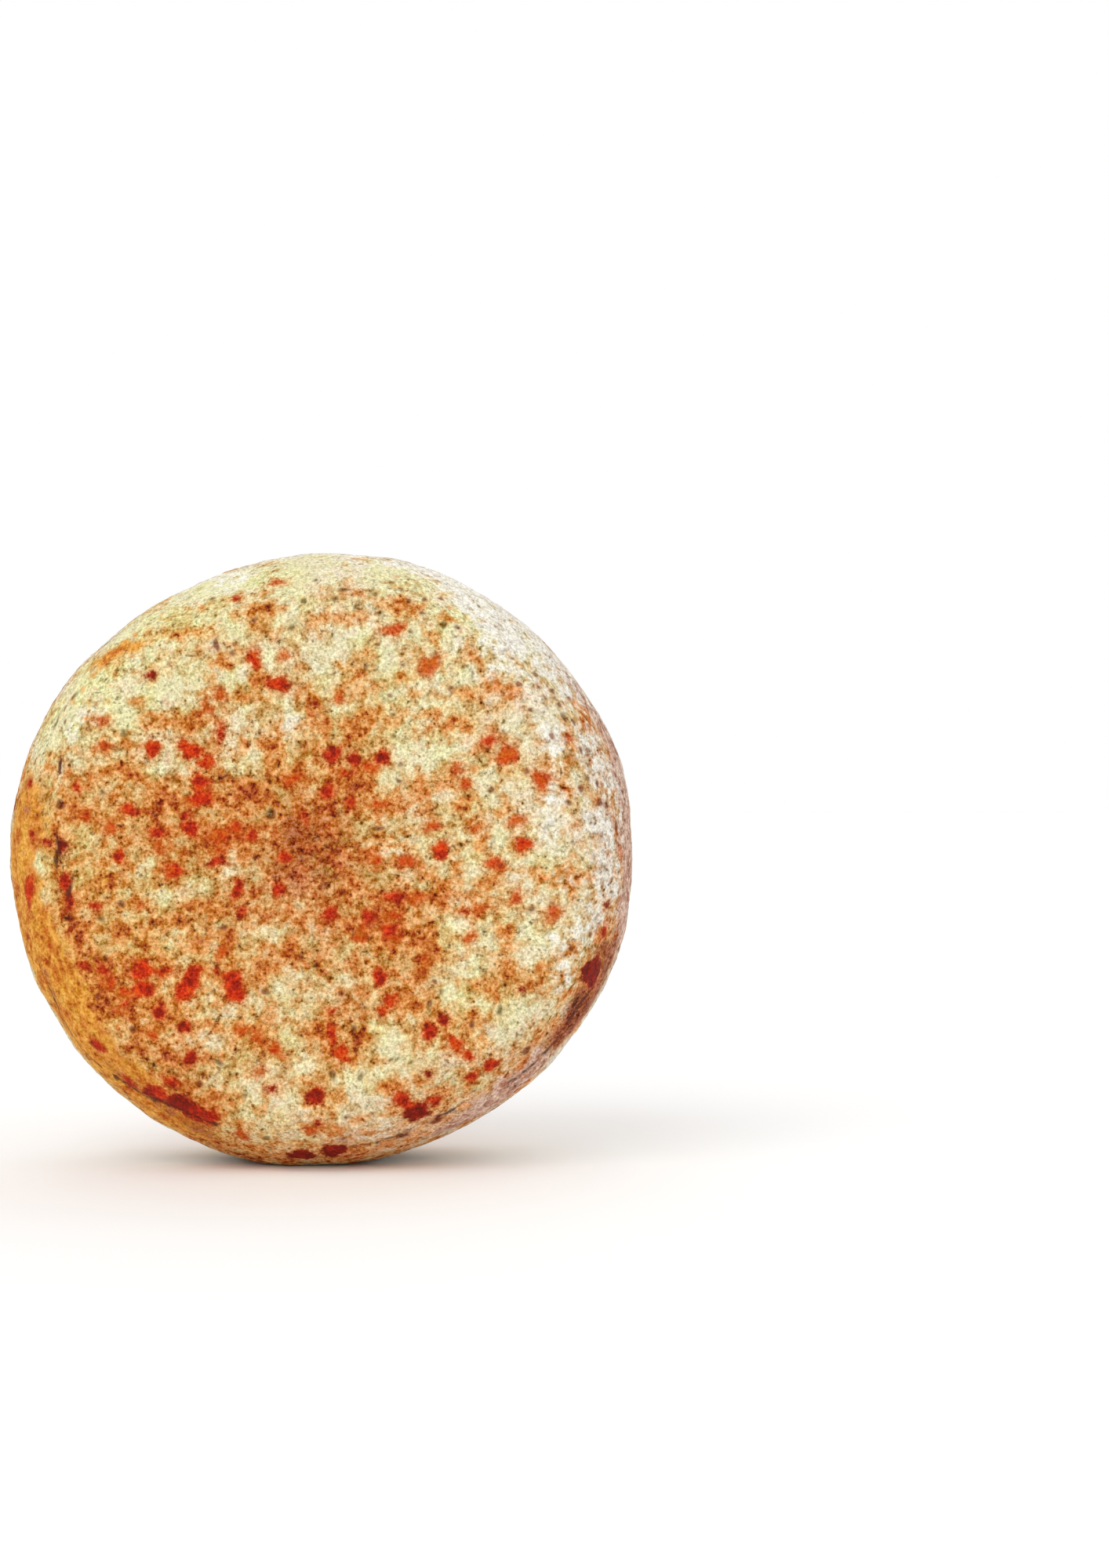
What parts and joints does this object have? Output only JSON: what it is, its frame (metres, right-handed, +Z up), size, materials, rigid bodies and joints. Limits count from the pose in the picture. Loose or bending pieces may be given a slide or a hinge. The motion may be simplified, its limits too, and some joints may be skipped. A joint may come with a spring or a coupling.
{
  "type": "cheese wheel",
  "caption": "Whole round wheel of pressed mountain cheese with flat faces, a bulging heel and a speckled natural rind, standing on its rim on a small flat spot.",
  "frame": {"origin": "under the middle of the wheel's box, on the surface that it stands on", "axes": "+Y along the wheel's own axis from the best face to the back, so the best face looks towards -Y; +Z up; +X to the right of someone who faces the best face"},
  "size_m": [0.2616, 0.1064, 0.2562],
  "materials": {
    "rind": "dry, granular natural rind: cream and tan with umber specks, small orange-red blooms and white mould towards the rim"
  },
  "bodies": {
    "root": {"cheese_wheel": "rind"}
  },
  "joints": []
}
